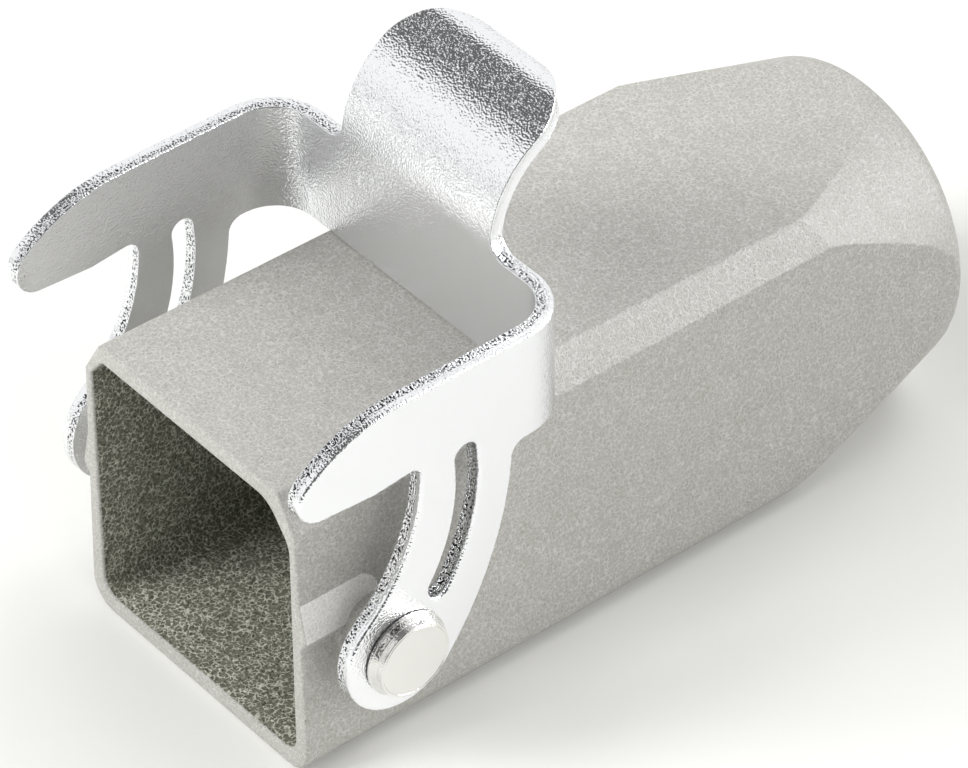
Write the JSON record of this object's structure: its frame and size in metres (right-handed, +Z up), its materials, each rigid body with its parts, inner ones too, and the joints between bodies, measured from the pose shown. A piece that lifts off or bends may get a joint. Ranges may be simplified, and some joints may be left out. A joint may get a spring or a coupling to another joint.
{
  "type": "connector housing",
  "caption": "Die-cast cable connector hood with a square mating mouth, a threaded cable entry and a swing locking lever.",
  "frame": {"origin": "centre of the mating mouth in the plane of its rim", "axes": "+Y from the mouth towards the cable end, +Z up towards the lever, +X to the right when facing along +Y"},
  "size_m": [0.0374, 0.0691, 0.0456],
  "materials": {
    "coated_die_cast": "fine-textured powder coat, warm light grey with a faint speckle",
    "plated_sheet": "bright plated sheet with a slightly grained face and stamped edges",
    "plated_rivet": "bright plated, turned"
  },
  "bodies": {
    "hood": {"hood_body": "coated_die_cast", "pivot_rivet_left": "plated_rivet", "pivot_rivet_right": "plated_rivet"},
    "lever": {"locking_lever": "plated_sheet"}
  },
  "joints": [
    {"name": "lever_hinge", "type": "hinge", "parent": "hood", "child": "lever", "pos_m": [0, 0.00595, -0.0008], "axis": [1, 0, 0], "range_deg": [0, 90]}
  ]
}
